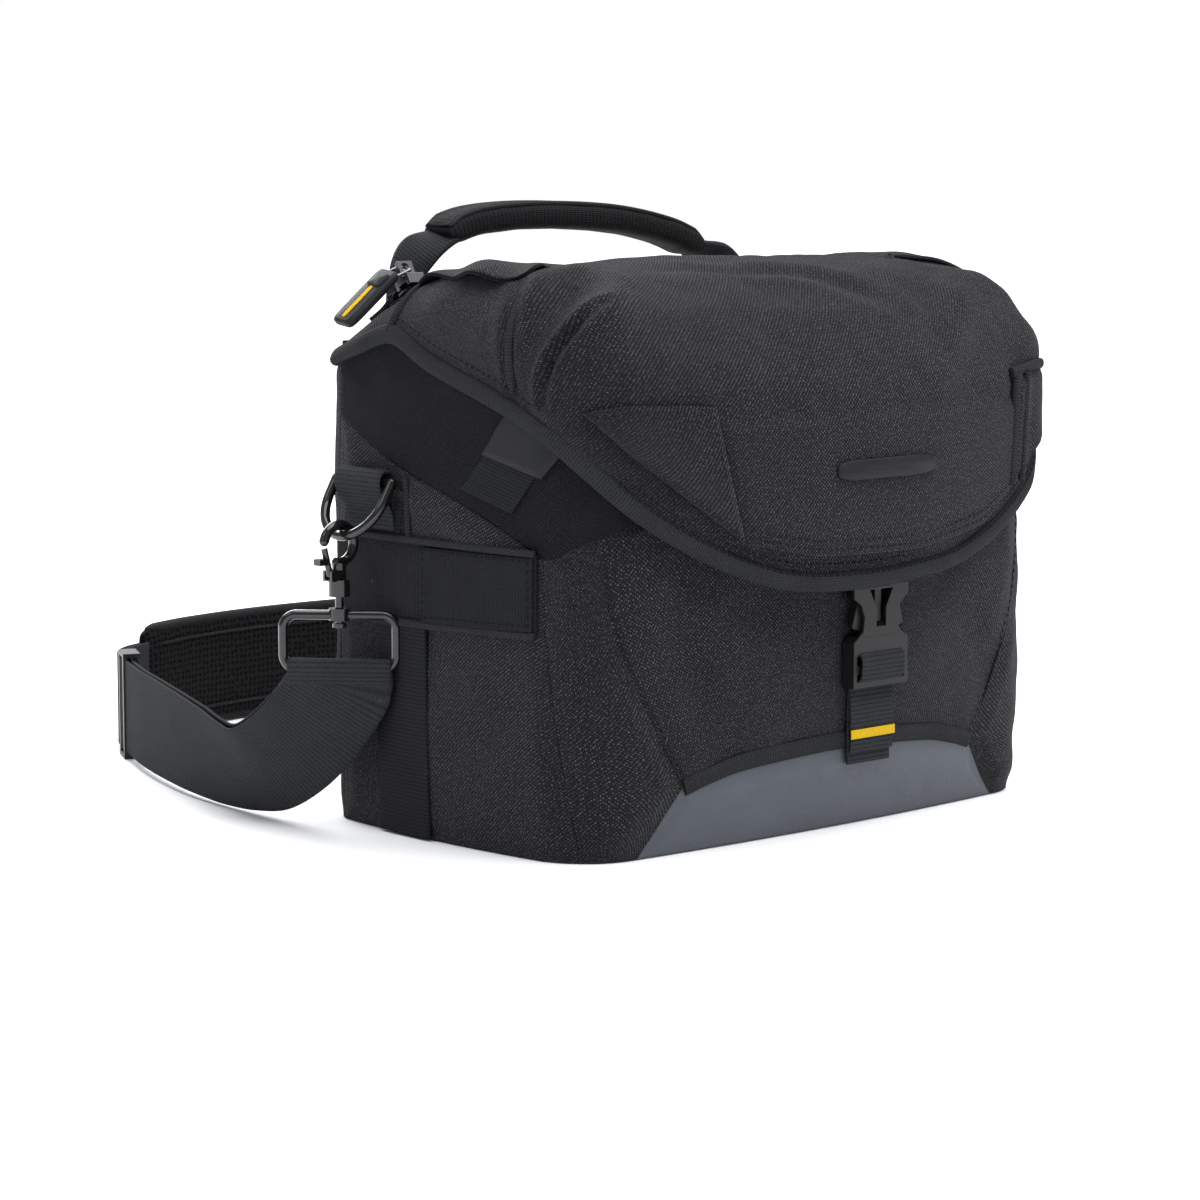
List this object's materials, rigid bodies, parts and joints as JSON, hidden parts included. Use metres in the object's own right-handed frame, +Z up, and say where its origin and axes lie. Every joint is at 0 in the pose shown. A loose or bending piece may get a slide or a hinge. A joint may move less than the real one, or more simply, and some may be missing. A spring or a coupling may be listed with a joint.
{
  "type": "camera bag",
  "caption": "Black padded shoulder camera bag with a buckled flap, top zip, grab handle, side D-rings and a detachable padded strap.",
  "frame": {"origin": "centre of the base on the floor, midway between the side panels and between the front corners and the back panel", "axes": "+Z up, -Y towards the front with the buckle, +X towards the right seen from the front"},
  "size_m": [0.4184, 0.4965, 0.303],
  "materials": {
    "shell_cloth": "ballistic weave",
    "knit_cloth": "fine knit",
    "tarpaulin": "coated cloth",
    "webbing": "ribbed webbing",
    "liner": "brushed lining over foam",
    "binding": "grosgrain tape",
    "black_plastic": "moulded acetal",
    "black_rubber": "moulded rubber",
    "yellow_tape": "woven tape",
    "black_metal": "black enamel",
    "bright_metal": "nickel plate",
    "air_mesh": "spacer mesh"
  },
  "bodies": {
    "bag": {"base_panel": "shell_cloth", "back_panel": "shell_cloth", "front_panel": "shell_cloth", "side_panel_left": "shell_cloth", "side_panel_right": "shell_cloth", "side_gusset_left": "knit_cloth", "side_gusset_right": "knit_cloth", "foam_floor": "liner", "foam_front": "liner", "foam_back": "liner", "foam_sides": "liner", "dividers": "liner", "front_pocket": "shell_cloth", "toe_panel": "tarpaulin", "pocket_binding": "binding", "side_belt_left": "webbing", "side_belt_right": "webbing", "upright_webs": "webbing", "tab_webs": "webbing", "rubber_tabs": "black_rubber", "ring_keeper_left": "webbing", "ring_keeper_right": "webbing", "buckle_socket": "black_plastic", "socket_plates": "black_plastic", "buckle_web": "webbing", "web_keeper": "yellow_tape", "strap_web_left": "webbing", "strap_web_right": "webbing", "strap_pad": "air_mesh"},
    "flap": {"flap_rear_panel": "shell_cloth", "flap_top_panel": "shell_cloth", "flap_front_panel": "shell_cloth", "flap_wing_left": "shell_cloth", "flap_wing_right": "shell_cloth", "flap_overlay": "shell_cloth", "flap_patch_left": "shell_cloth", "flap_ear_right": "shell_cloth", "flap_badge": "black_rubber", "zip_tape": "binding", "zip_coil": "black_plastic", "zip_garage": "shell_cloth", "handle_anchors": "webbing"},
    "zip_runner": {"zip_slider": "bright_metal"},
    "zip_pull": {"zip_shackle": "bright_metal", "zip_tab": "black_rubber"},
    "handle": {"handle_web": "webbing", "handle_grip": "air_mesh"},
    "plug": {"buckle_plug": "black_plastic", "plug_web": "webbing"},
    "arm_left": {"plug_arm_left": "black_plastic"},
    "arm_right": {"plug_arm_right": "black_plastic"},
    "ring_left": {"d_ring_left": "black_metal"},
    "ring_right": {"d_ring_right": "black_metal"},
    "hook_left": {"snap_hook_left": "black_metal"},
    "hook_right": {"snap_hook_right": "black_metal"},
    "gate_left": {"hook_gate_left": "black_metal"},
    "gate_right": {"hook_gate_right": "black_metal"},
    "loop_left": {"strap_loop_left": "black_metal"},
    "loop_right": {"strap_loop_right": "black_metal"},
    "glide": {"strap_glide": "black_plastic"}
  },
  "joints": [
    {"name": "flap_hinge", "type": "hinge", "parent": "bag", "child": "flap", "pos_m": [0, 0.091, 0.23], "axis": [-1, 0, 0], "range_deg": [0, 105]},
    {"name": "zip_slide", "type": "slide", "parent": "flap", "child": "zip_runner", "axis": [1, 0, 0], "range_m": [0, 0.252], "deforming": ["zip_tab"]},
    {"name": "pull_flip", "type": "hinge", "parent": "zip_runner", "child": "zip_pull", "pos_m": [-0.144, 0.0462, 0.26971], "axis": [0.118, 0.9871, 0.108], "range_deg": [0, 150]},
    {"name": "handle_fold", "type": "hinge", "parent": "flap", "child": "handle", "pos_m": [0, 0.0934, 0.2365], "axis": [-1, 0, 0], "range_deg": [0, 45]},
    {"name": "plug_pull", "type": "slide", "parent": "bag", "child": "plug", "axis": [0, 0, 1], "range_m": [0, 0.028]},
    {"name": "press_left", "type": "hinge", "parent": "plug", "child": "arm_left", "pos_m": [0.0048, -0.1134, 0.1188], "axis": [0, -1, 0], "range_deg": [0, 8], "stiffness_Nm_per_rad": 0.05},
    {"name": "press_right", "type": "hinge", "parent": "plug", "child": "arm_right", "pos_m": [0.0272, -0.1134, 0.1188], "axis": [0, 1, 0], "range_deg": [0, 8], "stiffness_Nm_per_rad": 0.05},
    {"name": "ring_swing_left", "type": "hinge", "parent": "bag", "child": "ring_left", "pos_m": [-0.17, 0.046, 0.17], "axis": [0, 1, 0], "range_deg": [0, 60], "deforming": ["strap_web_left"]},
    {"name": "ring_swing_right", "type": "hinge", "parent": "bag", "child": "ring_right", "pos_m": [0.17, 0.046, 0.17], "axis": [0, -1, 0], "range_deg": [0, 60], "deforming": ["strap_web_right"]},
    {"name": "hook_swing_left", "type": "hinge", "parent": "ring_left", "child": "hook_left", "pos_m": [-0.18475, 0.046, 0.14445], "axis": [0, 1, 0], "range_deg": [0, 35], "deforming": ["strap_web_left"]},
    {"name": "hook_swing_right", "type": "hinge", "parent": "ring_right", "child": "hook_right", "pos_m": [0.18475, 0.046, 0.14445], "axis": [0, -1, 0], "range_deg": [0, 35], "deforming": ["strap_web_right"]},
    {"name": "gate_press_left", "type": "hinge", "parent": "hook_left", "child": "gate_left", "pos_m": [-0.19135, 0.046, 0.12625], "axis": [0, 1, 0], "range_deg": [0, 18], "stiffness_Nm_per_rad": 0.02},
    {"name": "gate_press_right", "type": "hinge", "parent": "hook_right", "child": "gate_right", "pos_m": [0.19135, 0.046, 0.12625], "axis": [0, -1, 0], "range_deg": [0, 18], "stiffness_Nm_per_rad": 0.02},
    {"name": "loop_swivel_left", "type": "hinge", "parent": "hook_left", "child": "loop_left", "pos_m": [-0.18575, 0.046, 0.1], "axis": [0, 0, 1], "range_deg": [-80, 0], "deforming": ["strap_web_left"]},
    {"name": "loop_swivel_right", "type": "hinge", "parent": "hook_right", "child": "loop_right", "pos_m": [0.18575, 0.046, 0.1], "axis": [0, 0, -1], "range_deg": [-80, 0], "deforming": ["strap_web_right"]},
    {"name": "glide_slide", "type": "slide", "parent": "bag", "child": "glide", "axis": [0.4789, 0.8779, 0], "range_m": [-0.016, 0.016]}
  ],
  "couplings": [
    {"joint": "press_right", "follows": "press_left", "ratio": 1}
  ]
}
